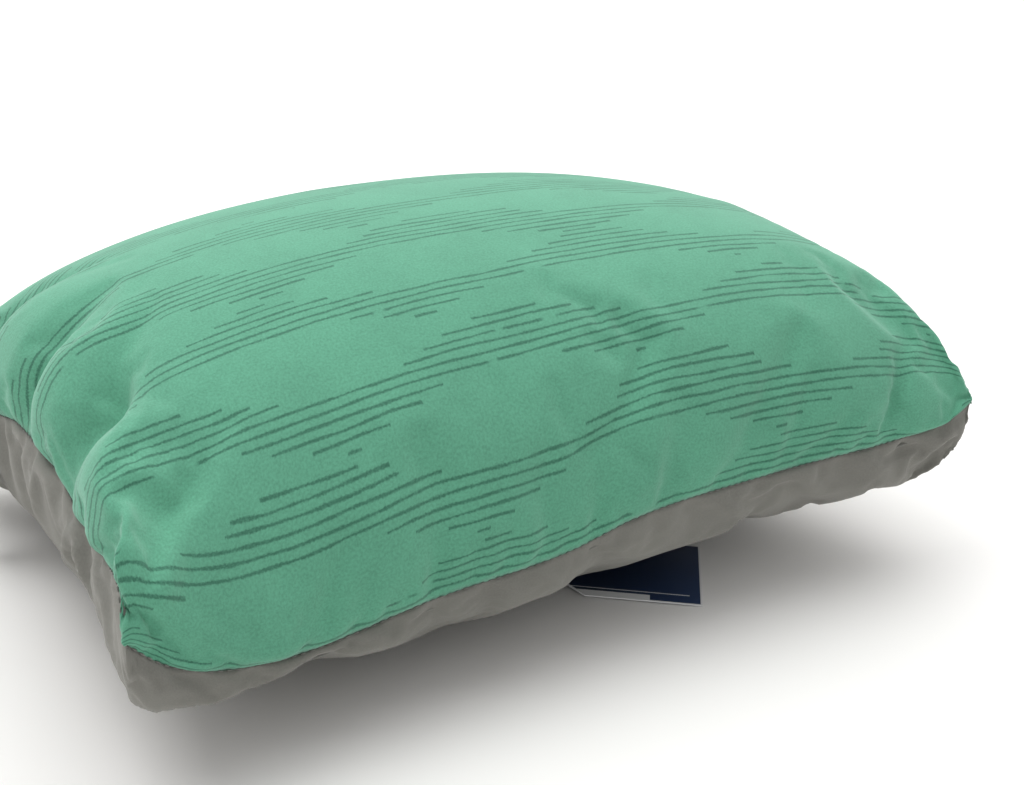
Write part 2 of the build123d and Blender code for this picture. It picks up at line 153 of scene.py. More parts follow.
# The drawcord's two halves, from the tack to the moulded end (mm)
CORD_NEAR = (
    (-195.6, -128, 58), (-194.7, -86, 58), (-194.1, -42, 58), (-193.9, 0, 58),
    (-194.1, 40, 58), (-194.5, 72.6, 58), (-208.9, 72.6, 52.5), (-208.9, 72.6, 18),
)
CORD_FAR = (
    (-195.6, 128, 58), (-195.2, 112, 58), (-194.9, 96, 58), (-194.5, 75.4, 58),
    (-208.9, 75.4, 52.5), (-208.9, 75.4, 18),
)
EYELET_CENTRE = Vector((-203.8, 74.0, 53.8)) * MM
EYELET_OUT = Vector((-0.934, 0.0, -0.358))
CORD_DIAMETER = 0.0024
# The swing tag: a lower corner (mm), the turn of its lower edge (degrees) and its size (mm)
TAG_CORNER = (67.2, -142.3)
TAG_TURN = 51.8
TAG_WIDTH = 62.0
TAG_LENGTH = 70.0
# How far the cloth is lifted off the floor over the tag (mm)
TAG_ROOM = 3.4


class PillowShape(bpy.types.PropertyGroup):
    """Sizes of the fabric shell."""

    half_length: bpy.props.FloatProperty(
        name="Half length", description="Middle to a short side's corners",
        default=0.2153, unit="LENGTH",
    )
    half_width: bpy.props.FloatProperty(
        name="Half width", description="Middle to a long side's corners",
        default=0.1655, unit="LENGTH",
    )
    crown: bpy.props.FloatProperty(
        name="Crown", description="How far the top rises above the sewn edge",
        default=0.0800, unit="LENGTH",
    )
    cell: bpy.props.FloatProperty(
        name="Cell", description="Size of the fabric mesh before it is divided once",
        default=0.0045, unit="LENGTH",
    )
    cloth: bpy.props.FloatProperty(
        name="Cloth", description="Thickness of a fabric panel",
        default=0.001, unit="LENGTH",
    )
    swell: bpy.props.FloatProperty(
        name="Swell", description="The most that the fill may push a panel",
        default=0.006, unit="LENGTH",
    )
    slack: bpy.props.FloatProperty(
        name="Slack", description="Spare fabric, as a share, that the fill gathers into folds",
        default=0.035, subtype="FACTOR",
    )


class PillowColours(bpy.types.PropertyGroup):
    """Colours of the fabrics and trims."""

    top: bpy.props.FloatVectorProperty(
        name="Top", description="Brushed top fabric", subtype="COLOR",
        size=3, default=(0.113, 0.345, 0.228),
    )
    ink: bpy.props.FloatVectorProperty(
        name="Print", description="Ink of the broken lines", subtype="COLOR",
        size=3, default=(0.030, 0.115, 0.075),
    )
    base: bpy.props.FloatVectorProperty(
        name="Base", description="Grey base fabric", subtype="COLOR",
        size=3, default=(0.178, 0.176, 0.158),
    )
    card: bpy.props.FloatVectorProperty(
        name="Card", description="Swing tag", subtype="COLOR",
        size=3, default=(0.012, 0.035, 0.105),
    )


class StageSettings(bpy.types.PropertyGroup):
    """Camera."""

    azimuth: bpy.props.FloatProperty(
        name="Azimuth", description="Camera's turn round the pillow",
        default=float(np.radians(-33.01)), subtype="ANGLE",
    )
    elevation: bpy.props.FloatProperty(
        name="Elevation", description="Camera's height above level",
        default=float(np.radians(20.84)), subtype="ANGLE",
    )
    roll: bpy.props.FloatProperty(
        name="Roll", description="Camera's tilt",
        default=float(np.radians(1.53)), subtype="ANGLE",
    )
    distance: bpy.props.FloatProperty(
        name="Distance", description="Camera to its target", default=0.7576, unit="LENGTH",
    )
    target: bpy.props.FloatVectorProperty(
        name="Target", description="What the camera looks at",
        default=(0.0506, 0.0029, 0.0630), subtype="XYZ",
    )


def shape():
    return bpy.context.scene.pillow_shape


def colours():
    return bpy.context.scene.pillow_colours


# Curves and surfaces


def smooth_values(knots, at):
    """Values on a smooth line through (position, value) knots that never overshoots them."""
    x = np.array([k[0] for k in knots], float)
    y = np.array([k[1] for k in knots], float)
    step = np.diff(x)
    slope = np.diff(y) / step
    tangent = np.concatenate(([slope[0]], (slope[:-1] + slope[1:]) / 2, [slope[-1]]))
    flat = slope[:-1] * slope[1:] <= 0
    tangent[1:-1][flat] = 0
    i = np.clip(np.searchsorted(x, at) - 1, 0, len(step) - 1)
    t = (at - x[i]) / step[i]
    return (
        y[i] * (1 + 2 * t) * (1 - t) ** 2
        + y[i + 1] * t * t * (3 - 2 * t)
        + step[i] * tangent[i] * t * (1 - t) ** 2
        + step[i] * tangent[i + 1] * t * t * (t - 1)
    )


def smooth_route(points, count=48):
    """Points on a smooth line through a few points."""
    points = np.array(points, float)
    along = np.linspace(0, len(points) - 1, count)
    return np.stack(
        [smooth_values(list(enumerate(points[:, k])), along) for k in range(3)], axis=1
    )


def smooth_step(low, high, value):
    """0 below low, 1 above high and a smooth rise between them."""
    t = np.clip((value - low) / (high - low), 0, 1)
    return t * t * (3 - 2 * t)


def rounded(t, shoulder, flank):
    """1 in the middle and 0 at the ends, -1 and 1, with rounded shoulders and steep flanks."""
    return (1 - np.minimum(np.abs(t), 1) ** shoulder) ** flank


def crown_profile(t):
    """How high the crown is along its length or width, 0 at the seam and 1 in the middle."""
    shoulder, flank = CROWN_ROUNDING
    return rounded(t, shoulder, 1 / flank)


def bowl_across(u):
    """How deep the base is along its length, 0 at the seam and 1 in the middle."""
    return np.where(u < 0, rounded(u, *LEFT_END_ROUNDING), rounded(u, *RIGHT_END_ROUNDING))


def bowl_through(v):
    """How deep the base is along its width; it rests a little behind the middle."""
    near = np.clip((REST_SHIFT - v) / (1 + REST_SHIFT), 0, 1)
    far = np.clip((v - REST_SHIFT) / (1 - REST_SHIFT), 0, 1)
    return np.where(
        v < REST_SHIFT, rounded(near, *NEAR_SIDE_ROUNDING), rounded(far, *FAR_SIDE_ROUNDING)
    )


def even_steps(profile, half, rise):
    """Table that spreads -1..1 evenly along the arc of a profile: (arc in metres, parameter)."""
    t = np.sin(np.linspace(-np.pi / 2, np.pi / 2, 4001))
    steps = np.hypot(np.diff(t) * half, np.diff(profile(t)) * rise)
    arc = np.concatenate(([0], np.cumsum(steps)))
    return arc - np.interp(0, t, arc), t


def seam_heights(side, t):
    """Height in mm of the sewn edge along a side, before its own rise and fall."""
    first, last = {"near": (0, 1), "far": (3, 2), "left": (0, 3), "right": (1, 2)}[side]
    bow = EDGE_BOWS[("near", "far", "left", "right").index(side)]
    low, high = CORNER_HEIGHTS[first], CORNER_HEIGHTS[last]
    return low + (high - low) * (t + 1) / 2 + bow * (1 - t * t)


def seam_surface(u, v):
    """Points in mm of the surface that spans the sewn edge."""
    half_length = shape().half_length / MM
    half_width = shape().half_width / MM
    near, far, left, right = EDGE_PULLS
    a, b = (u + 1) / 2, (v + 1) / 2
    waist_v = 1 - v**4
    waist_u = 1 - u**4
    x = u * half_length + (1 - a) * left * waist_v - a * right * waist_v
    y = v * half_width + (1 - b) * near * waist_u - b * far * waist_u
    round_off = CORNER_CUT * np.abs(u) ** CORNER_SHARPNESS * np.abs(v) ** CORNER_SHARPNESS
    x = x - np.sign(u) * round_off
    y = y - np.sign(v) * round_off
    z = (
        (1 - b) * seam_heights("near", u)
        + b * seam_heights("far", u)
        + (1 - a) * seam_heights("left", v)
        + a * seam_heights("right", v)
        - (1 - a) * (1 - b) * CORNER_HEIGHTS[0]
        - a * (1 - b) * CORNER_HEIGHTS[1]
        - a * b * CORNER_HEIGHTS[2]
        - (1 - a) * b * CORNER_HEIGHTS[3]
    )
    from_near = (v + 1) * half_width
    from_left = (u + 1) * half_length
    total = from_near + from_left + 1e-6
    lift_near = smooth_values(NEAR_SEAM, u) - seam_heights("near", u)
    lift_left = smooth_values(LEFT_SEAM, v) - seam_heights("left", v)
    z = z + lift_near * np.exp(-((from_near / SEAM_REACH) ** 2)) * from_left / total
    z = z + lift_left * np.exp(-((from_left / SEAM_REACH) ** 2)) * from_near / total
    at_corner = (from_near + from_left) < 1e-3
    z = np.where(at_corner, NEAR_SEAM[0][1], z)
    return np.stack([x, y, z], axis=-1)


def top_surface(u, v, inset=0.0):
    """Points in mm of the crowned top, lowered by up to the inset."""
    points = seam_surface(u, v)
    rise = (shape().crown / MM) * crown_profile(u) * crown_profile(v)
    points[..., 2] += rise - inset * crown_profile(u) * crown_profile(v)
    return points


def base_surface(u, v, inset=0.0):
    """Points in mm of the base, a bowl that the floor flattens, raised by up to the inset."""
    points = seam_surface(u, v)
    across, through = bowl_across(u), bowl_through(v)
    boxy = smooth_step(0.45, 0.9, np.abs(u)) * smooth_step(0.45, 0.9, np.abs(v))
    depth = across * through
    depth = depth + boxy * (np.minimum(across, through) - depth)
    low = points[..., 2] * (1 - depth)
    points[..., 2] = np.maximum(low - REST_SINK * depth, 0.0) + inset * depth
    return points


# Mesh helpers


def new_object(name, bm, material):
    """A smooth-shaded mesh object from a bmesh, with its material if it has one."""
    mesh = bpy.data.meshes.new(name)
    bm.to_mesh(mesh)
    bm.free()
    obj = bpy.data.objects.new(name, mesh)
    bpy.context.scene.collection.objects.link(obj)
    if material is not None:
        mesh.materials.append(material)
    mesh.polygons.foreach_set("use_smooth", [True] * len(mesh.polygons))
    return obj


def read_points(mesh):
    points = np.empty(len(mesh.vertices) * 3)
    mesh.vertices.foreach_get("co", points)
    return points.reshape(-1, 3)


def write_points(mesh, points):
    mesh.vertices.foreach_set("co", np.asarray(points, float).ravel())
    mesh.update()


def read_normals(mesh):
    normals = np.empty(len(mesh.vertices) * 3)
    mesh.vertices.foreach_get("normal", normals)
    return normals.reshape(-1, 3)


def panel_mesh(name, surface, profile_u, profile_v, rise, material, inset=0.0, cell=None):
    """A fabric panel on a grid whose cells are even along the cloth.

    Returns the object and each point's distance along the cloth to the sewn edge.
    """
    cell = cell or shape().cell
    arc_u, par_u = even_steps(profile_u, shape().half_length, rise)
    arc_v, par_v = even_steps(profile_v, shape().half_width, rise)
    count_u = int(round((arc_u[-1] - arc_u[0]) / cell))
    count_v = int(round((arc_v[-1] - arc_v[0]) / cell))
    bm = bmesh.new()
    bmesh.ops.create_grid(bm, x_segments=count_u, y_segments=count_v, size=1.0)
    grid = np.array([v.co[:] for v in bm.verts])
    flat_u = arc_u[0] + (grid[:, 0] + 1) / 2 * (arc_u[-1] - arc_u[0])
    flat_v = arc_v[0] + (grid[:, 1] + 1) / 2 * (arc_v[-1] - arc_v[0])
    u = np.clip(np.interp(flat_u, arc_u, par_u), -1, 1)
    v = np.clip(np.interp(flat_v, arc_v, par_v), -1, 1)
    points = surface(u, v, inset) * MM
    flat = np.stack([flat_u, flat_v], axis=1)
    uv = bm.loops.layers.uv.new("flat")
    for face in bm.faces:
        for loop in face.loops:
            loop[uv].uv = flat[loop.vert.index]
    for vert, point in zip(bm.verts, points):
        vert.co = point
    if surface is base_surface:
        bmesh.ops.reverse_faces(bm, faces=bm.faces)
    obj = new_object(name, bm, material)
    edge = np.minimum.reduce([
        flat_u - flat_u.min(), flat_u.max() - flat_u,
        flat_v - flat_v.min(), flat_v.max() - flat_v,
    ])
    return obj, edge


def sculpt_folds(obj, folds, edge):
    """Pushes valleys in and ridges out along their routes; the sewn edge stays."""
    mesh = obj.data
    points = read_points(mesh)
    normals = read_normals(mesh)
    hold = smooth_step(0.0, 0.008, edge)
    shift = np.zeros(len(points))
    for height, reach, route in folds:
        line = smooth_route(route) * MM
        away = np.full(len(points), 1e9)
        along = np.zeros(len(points))
        for index, spot in enumerate(line):
            d = np.linalg.norm(points - spot, axis=1)
            closer = d < away
            away[closer] = d[closer]
            along[closer] = index / (len(line) - 1)
        fade_in = 0.3 + 0.7 * smooth_step(0, 0.25, along)
        fade_out = 1 - 0.85 * smooth_step(0.35, 1.0, along)
        shift += height * MM * np.exp(-((away / (reach * MM)) ** 1.5)) * (fade_out * fade_in)
    points += normals * (shift * hold)[:, None]
    write_points(mesh, points)


def roll_over_seam(obj, edge, amount, reach):
    """Pushes the cloth next to the sewn edge outwards, so that it hangs over the seam."""
    mesh = obj.data
    points = read_points(mesh)
    half_length, half_width = shape().half_length, shape().half_width
    x, y = points[:, 0], points[:, 1]
    weight_x = np.abs(x / half_length) ** 8
    weight_y = np.abs(y / half_width) ** 8
    out = np.stack([np.sign(x) * weight_x, np.sign(y) * weight_y], axis=1)
    out /= np.maximum(np.linalg.norm(out, axis=1), 1e-9)[:, None]
    bulge = amount * (edge / reach) * np.exp(1 - edge / reach)
    corner = np.hypot(np.abs(x) - half_length, np.abs(y) - half_width)
    bulge = bulge * smooth_step(0.008, 0.055, corner)
    points[:, :2] += out * bulge[:, None]
    write_points(mesh, points)


def pucker_seam(obj, edge, size, seed):
    """Fine gathers at right angles to the sewn edge that die out within a few centimetres."""
    mesh = obj.data
    points = read_points(mesh)
    normals = read_normals(mesh)
    shift = np.zeros(len(points))
    for index in np.nonzero(edge < 0.05)[0]:
        x, y = points[index, :2]
        fine_place = Vector((x / 0.013, y / 0.013, seed))
        broad_place = Vector((x / 0.030, y / 0.030, seed + 7.0))
        fine = np.exp(-edge[index] / 0.014) * smooth_step(0.0, 0.004, edge[index])
        broad = np.exp(-edge[index] / 0.026) * smooth_step(0.0, 0.008, edge[index])
        gather = noise.noise(fine_place) * fine + 1.8 * noise.noise(broad_place) * broad
        shift[index] = size * gather
    points += normals * shift[:, None]
    write_points(mesh, points)


def grid_shape(points, edge):
    """Rows and columns of a panel's grid, whose first gap between edge points is in row two."""
    border = np.nonzero(edge < 1e-6)[0]
    columns = int(np.argmax(np.diff(border) > 1))
    return len(points) // columns, columns


def even_out(field, rows, columns):
    """A field on the grid, smoothed over a few centimetres."""
    grid = field.reshape(rows, columns, -1).copy()
    for _ in range(36):
        grid[1:-1] = (grid[:-2] + 2 * grid[1:-1] + grid[2:]) / 4
        grid[:, 1:-1] = (grid[:, :-2] + 2 * grid[:, 1:-1] + grid[:, 2:]) / 4
    return grid.reshape(len(field), -1)


def swell_with_fill(obj, edge):
    """Lets the fill press the panel out as cloth, held at the sewn edge, and keeps the result."""
    scene = bpy.context.scene
    mesh = obj.data
    before = read_points(mesh)
    group = obj.vertex_groups.new(name="sewn edge")
    for index in np.nonzero(edge < 1e-5)[0]:
        group.add([int(index)], 1.0, "REPLACE")
    cloth = obj.modifiers.new("Cloth", "CLOTH")
    settings = cloth.settings
    settings.quality = 6
    settings.mass = 0.2
    settings.tension_stiffness = settings.compression_stiffness = 12
    settings.shear_stiffness = 4
    settings.bending_stiffness = 0.35
    settings.air_damping = 4
    settings.use_pressure = True
    settings.uniform_pressure_force = FILL_PRESSURE
    settings.vertex_group_mass = group.name
    settings.pin_stiffness = 1.0
    settings.shrink_min = -shape().slack
    settings.effector_weights.gravity = 0
    cloth.point_cache.frame_start = 1
    cloth.point_cache.frame_end = SETTLING_FRAMES
    for step in range(1, SETTLING_FRAMES + 1):
        scene.frame_set(step)
    evaluated = obj.evaluated_get(bpy.context.evaluated_depsgraph_get())
    after = read_points(evaluated.data)
    obj.modifiers.remove(cloth)
    scene.frame_set(1)
    obj.vertex_groups.remove(group)
    move = after - before
    move -= SWELL_TAKEN_OUT * even_out(move, *grid_shape(before, edge))
    length = np.linalg.norm(move, axis=1)
    cap = shape().swell
    scale = cap * np.tanh(length / cap) / np.maximum(length, 1e-9)
    write_points(mesh, before + move * scale[:, None])


def keep_off_floor(obj):
    """Flattens the cloth on the floor, and lifts it just clear of the swing tag."""
    points = read_points(obj.data)
    turn = np.radians(TAG_TURN)
    away = points[:, :2] - np.array(TAG_CORNER) * MM
    across = away @ (np.cos(turn), np.sin(turn))
    up = away @ (-np.sin(turn), np.cos(turn))
    start, clear = -0.020, -0.004  # the lift begins, and is full, this far outside the tag
    over = smooth_step(start, clear, across) * smooth_step(start, clear, TAG_WIDTH * MM - across)
    over = over * smooth_step(start, clear, up)
    over = over * smooth_step(start, clear, TAG_LENGTH * MM - up)
    points[:, 2] = np.maximum(points[:, 2], TAG_ROOM * MM * over)
    write_points(obj.data, points)


def seat_eyelet(obj, edge):
    """Flattens the wall under the eyelet, so that its flange sits on the cloth."""
    points = read_points(obj.data)
    centre = np.array(EYELET_CENTRE)
    out = np.array(EYELET_OUT.normalized())
    away = points - centre
    height = away @ out
    side = np.linalg.norm(away - height[:, None] * out, axis=1)
    near = (np.abs(height) < 0.03) & (points[:, 0] < -0.15)
    hold = (1 - smooth_step(0.012, 0.028, side)) * near * smooth_step(0.0, 0.014, edge)
    points -= out * (height * hold)[:, None]
    write_points(obj.data, points)


def divide_once(obj):
    """Divides every cell once, rounded."""
    bm = bmesh.new()
    bm.from_mesh(obj.data)
    edges = list(bm.edges)
    bmesh.ops.subdivide_edges(bm, edges=edges, cuts=1, use_grid_fill=True, smooth=1.0)
    bm.to_mesh(obj.data)
    bm.free()
    obj.data.polygons.foreach_set("use_smooth", [True] * len(obj.data.polygons))


def thicken(obj, thickness, offset=-1.0):
    solid = obj.modifiers.new("Cloth thickness", "SOLIDIFY")
    solid.thickness = thickness
    solid.offset = offset
    solid.use_even_offset = False


# Materials


class Graph:
    """A material's nodes, added in a few words each."""

    def __init__(self, name):
        self.material = bpy.data.materials.new(name)
        self.material.use_nodes = True
        self.nodes = self.material.node_tree.nodes
        self.links = self.material.node_tree.links
        self.shader = self.nodes["Principled BSDF"]

    def put(self, kind, inputs=(), **settings):
        node = self.nodes.new(kind)
        for key, value in settings.items():
            setattr(node, key, value)
        for key, value in dict(inputs).items():
            self.feed(node.inputs[key], value)
        return node

    def feed(self, socket, value):
        if isinstance(value, bpy.types.NodeSocket):
            self.links.new(value, socket)
        else:
            socket.default_value = value

    def math(self, operation, first, second=0.0, third=0.0):
        node = self.put("ShaderNodeMath", operation=operation)
        for socket, value in zip(node.inputs, (first, second, third)):
            self.feed(socket, value)
        return node.outputs[0]

    def plus(self, first, second):
        return self.math("ADD", first, second)

    def minus(self, first, second):
        return self.math("SUBTRACT", first, second)

    def times(self, first, second):
        return self.math("MULTIPLY", first, second)

    def mix(self, factor, first, second):
        node = self.put("ShaderNodeMix", data_type="RGBA")
        self.feed(node.inputs[0], factor)
        self.feed(node.inputs[6], first)
        self.feed(node.inputs[7], second)
        return node.outputs[2]

    def ramp(self, value, low, high, to_low=0.0, to_high=1.0, kind="SMOOTHSTEP"):
        node = self.put("ShaderNodeMapRange", interpolation_type=kind)
        for socket, item in zip(node.inputs, (value, low, high, to_low, to_high)):
            self.feed(socket, item)
        return node.outputs[0]

    def noise(self, vector, scale, detail=2.0, rough=0.5):
        node = self.put("ShaderNodeTexNoise")
        self.feed(node.inputs["Vector"], vector)
        self.feed(node.inputs["Scale"], scale)
        self.feed(node.inputs["Detail"], detail)
        self.feed(node.inputs["Roughness"], rough)
        return node.outputs["Fac"]

    def combine(self, x, y=0.0, z=0.0):
        return self.put("ShaderNodeCombineXYZ", {"X": x, "Y": y, "Z": z}).outputs[0]

    def separate(self, vector):
        return self.put("ShaderNodeSeparateXYZ", {"Vector": vector}).outputs

    def random(self, x, y=0.0, z=0.0):
        node = self.put("ShaderNodeTexWhiteNoise", noise_dimensions="3D")
        self.feed(node.inputs["Vector"], self.combine(x, y, z))
        return node.outputs["Value"]

    def object_place(self):
        return self.put("ShaderNodeTexCoord").outputs["Object"]

    def flat_place(self):
        return self.put("ShaderNodeUVMap", uv_map="flat").outputs[0]

    def bump(self, height, strength, distance):
        node = self.put("ShaderNodeBump", {"Strength": strength, "Distance": distance})
        self.feed(node.inputs["Height"], height)
        self.feed(self.shader.inputs["Normal"], node.outputs[0])

    def surface(self, rough, metal=0.0, sheen=0.0, sheen_rough=0.5, tint=(1, 1, 1), spec=0.3):
        set_to = self.shader.inputs
        self.feed(set_to["Roughness"], rough)
        set_to["Metallic"].default_value = metal
        set_to["Sheen Weight"].default_value = sheen
        set_to["Sheen Roughness"].default_value = sheen_rough
        set_to["Sheen Tint"].default_value = (*tint, 1)
        set_to["Specular IOR Level"].default_value = spec

    def colour(self, value):
        self.feed(self.shader.inputs["Base Color"], value)


def rgba(colour, by=1.0):
    return (colour[0] * by, colour[1] * by, colour[2] * by, 1.0)


def hatch_cluster(g, u, row, middle, jitter, kind):
    """1 inside the clusters of hatching that grow up or down from a row, and 0 elsewhere."""
    seed, slide, tall, half, sign = kind
    spread = 168.0
    row_slide = g.times(row, 0.43 * spread)
    own_slide = g.times(g.random(row, 11.0), 0.25 * spread)
    start = g.plus(row_slide, own_slide)
    run = g.math("DIVIDE", g.plus(g.plus(u, start), 2000.0 - slide), spread)
    index = g.math("FLOOR", run)
    stray = g.times(g.minus(g.random(row, index, seed), 0.5), 0.16)
    from_start = g.minus(run, index)
    centre = g.math("ABSOLUTE", g.minus(from_start, g.plus(stray, 0.5)))
    size = g.ramp(g.random(row, index, 3.0 + seed), 0.0, 1.0, 0.72, 1.08, "LINEAR")
    slope = g.minus(1.0, g.times(centre, spread / half))
    peak = g.times(g.times(slope, size), tall)
    reach = g.times(middle, sign)
    above = g.math("GREATER_THAN", reach, 0.0)
    under = g.math("LESS_THAN", g.plus(reach, jitter), peak)
    return g.times(above, under)


def print_mask(g, flat, fuzz):
    """Rows of broken lines with loose clusters of hatching above and below them, 0 to 1."""
    row_gap, line_gap = 41.0, 4.1
    part = g.separate(flat)
    u = g.times(part["X"], 1000.0)
    v = g.plus(g.times(part["Y"], 1000.0), 4.0)
    row = g.math("FLOOR", g.plus(g.math("DIVIDE", v, row_gap), 0.5))
    drift = g.noise(g.combine(g.times(u, 0.012), row, 3.0), 1.0, 1.0)
    y = g.minus(v, g.times(row, row_gap))
    y = g.plus(y, g.times(g.minus(drift, 0.5), 2.0))
    lines = g.math("DIVIDE", y, line_gap)
    line = g.math("FLOOR", lines)
    middle = g.times(g.plus(line, 0.5), line_gap)

    def along_line(stretch, by_line, third):
        return g.combine(g.times(u, stretch), g.times(line, by_line), third)

    wave = g.noise(along_line(0.03, 3.7, row), 1.0, 1.0)
    from_line = g.minus(g.minus(lines, line), 0.5)
    from_line = g.times(from_line, line_gap)
    waver = g.times(g.minus(wave, 0.5), 2.2)
    away = g.math("ABSOLUTE", g.plus(from_line, waver))
    own = g.random(row, line, 5.0)
    jitter = g.times(g.minus(own, 0.5), 3.4)
    # seed, slide along the row, height, half length (mm) and direction
    upper = hatch_cluster(g, u, row, middle, jitter, (0.0, 0.0, 25.0, 74.0, 1.0))
    lower = hatch_cluster(g, u, row, middle, jitter, (17.0, 66.0, 20.0, 64.0, -1.0))
    cluster = g.math("MAXIMUM", upper, lower)
    baseline = g.math("LESS_THAN", g.math("ABSOLUTE", middle), 3.0)
    gaps = g.noise(along_line(0.035, 5.3, g.times(row, 2.1)), 1.0, 2.0)
    base_lines = g.times(baseline, g.ramp(gaps, 0.33, 0.37))
    hatching = g.times(cluster, g.ramp(gaps, 0.27, 0.31))
    inside = g.math("MAXIMUM", base_lines, hatching)
    weight = g.noise(along_line(0.06, 2.9, row), 1.0, 2.0)
    half_line = g.ramp(weight, 0.3, 0.7, 0.30, 0.82, "LINEAR")
    ragged = g.plus(away, g.times(g.minus(fuzz, 0.5), 1.5))
    edge = g.ramp(g.minus(ragged, half_line), -0.34, 0.34, 1.0, 0.0)
    return g.times(edge, inside)


def top_fabric():
    g = Graph("brushed green knit with broken line print")
    flat = g.flat_place()
    fuzz = g.noise(flat, 1150.0, 2.0, 0.6)
    ink = print_mask(g, flat, fuzz)
    base = colours().top
    patchy = g.noise(flat, 26.0, 3.0)
    grain = g.noise(flat, 900.0, 3.0, 0.7)
    nap = g.noise(flat, 160.0, 2.0, 0.6)
    cloth = g.mix(g.ramp(patchy, 0.3, 0.7), rgba(base, 0.93), rgba(base, 1.05))
    dark_fibre = g.mix(0.42, cloth, rgba(base, 0.60))
    light_fibre = g.mix(0.22, cloth, rgba(base, 1.45))
    cloth = g.mix(g.ramp(grain, 0.3, 0.7), dark_fibre, light_fibre)
    cloth = g.mix(g.ramp(nap, 0.35, 0.65, 0.0, 0.10), cloth, rgba(base, 1.35))
    strength = g.times(ink, g.ramp(grain, 0.25, 0.75, 0.88, 0.58))
    g.colour(g.mix(strength, cloth, rgba(colours().ink)))
    g.surface(rough=0.92, sheen=0.35, sheen_rough=0.45, tint=(0.75, 1.0, 0.9), spec=0.15)
    relief = g.plus(g.times(grain, 0.7), g.times(nap, 0.5))
    g.bump(g.minus(relief, g.times(ink, 0.12)), 0.30, 0.0006)
    return g.material


def base_fabric():
    g = Graph("brushed warm grey polyester")
    flat = g.flat_place()
    base = colours().base
    grain = g.noise(flat, 1000.0, 3.0, 0.7)
    part = g.separate(flat)
    threads = 9000.0
    warp = g.math("SINE", g.times(part["X"], threads))
    weft = g.math("SINE", g.times(part["Y"], threads))
    weave = g.times(warp, weft)
    patchy = g.noise(flat, 22.0, 3.0)
    cloth = g.mix(g.ramp(patchy, 0.3, 0.7), rgba(base, 0.92), rgba(base, 1.06))
    cloth = g.mix(g.ramp(grain, 0.3, 0.7, 0.0, 0.5), cloth, rgba(base, 1.28))
    cloth = g.mix(g.ramp(weave, -1.0, 1.0, 0.0, 0.12), cloth, rgba(base, 0.55))
    g.colour(cloth)
    g.surface(rough=0.88, sheen=0.25, sheen_rough=0.5, tint=(1.0, 0.98, 0.94), spec=0.2)
    g.bump(g.plus(grain, g.times(weave, 0.35)), 0.22, 0.0005)
    return g.material


def thread_material():
    g = Graph("spun seam thread")
    place = g.object_place()
    ply = g.noise(place, 2600.0, 2.0)
    g.colour(g.mix(ply, (0.10, 0.10, 0.09, 1), (0.22, 0.22, 0.20, 1)))
    g.surface(rough=0.7, sheen=0.2, spec=0.3)
    g.bump(ply, 0.4, 0.0002)
    return g.material


def foam_material():
    g = Graph("shredded open-cell foam")
    place = g.object_place()
    cells = g.put("ShaderNodeTexVoronoi", {"Vector": place, "Scale": 900.0}).outputs["Distance"]
    lump = g.noise(place, 38.0, 2.0)
    colour = g.mix(lump, (0.62, 0.57, 0.40, 1), (0.78, 0.74, 0.60, 1))
    # painted shade: each foam cell is darkened in the pit at its middle
    g.colour(g.mix(g.ramp(cells, 0.1, 0.6, 0.35, 0.0), colour, (0.35, 0.31, 0.2, 1)))
    g.surface(rough=0.95, spec=0.1)
    g.bump(cells, 0.5, 0.0006)
    return g.material


def cord_material():
    g = Graph("braided black cord")
    strands = 6200.0
    part = g.separate(g.object_place())
    run = g.plus(part["Y"], part["Z"])
    lean = g.times(part["X"], 1.2)
    first = g.math("SINE", g.times(g.plus(run, lean), strands))
    second = g.math("SINE", g.times(g.minus(run, lean), strands))
    braid = g.ramp(g.times(first, second), -1.0, 1.0)
    g.colour(g.mix(braid, (0.012, 0.012, 0.012, 1), (0.055, 0.055, 0.055, 1)))
    g.surface(rough=0.65, sheen=0.3, spec=0.35)
    g.bump(braid, 0.6, 0.0002)
    return g.material


def metal_material():
    g = Graph("gunmetal plating")
    place = g.object_place()
    brush = g.noise(place, 1800.0, 3.0)
    g.colour(g.mix(brush, (0.20, 0.20, 0.21, 1), (0.34, 0.34, 0.35, 1)))
    g.surface(rough=g.ramp(brush, 0.2, 0.8, 0.26, 0.46), metal=1.0, spec=0.5)
    g.bump(brush, 0.08, 0.0001)
    return g.material


def steel_material():
    g = Graph("drawn spring wire")
    brush = g.noise(g.object_place(), 3000.0, 2.0)
    g.colour(g.mix(brush, (0.45, 0.45, 0.46, 1), (0.62, 0.62, 0.63, 1)))
    g.surface(rough=0.28, metal=1.0, spec=0.5)
    return g.material


def plastic_material():
    g = Graph("moulded black acetal")
    place = g.object_place()
    grain = g.noise(place, 2400.0, 3.0, 0.6)
    wear = g.noise(place, 260.0, 3.0)
    worn = g.ramp(wear, 0.45, 0.75, 0.0, 0.4)
    g.colour(g.mix(worn, (0.018, 0.018, 0.019, 1), (0.05, 0.05, 0.05, 1)))
    g.surface(rough=g.ramp(grain, 0.3, 0.7, 0.36, 0.52), spec=0.5)
    g.bump(grain, 0.16, 0.0001)
    return g.material


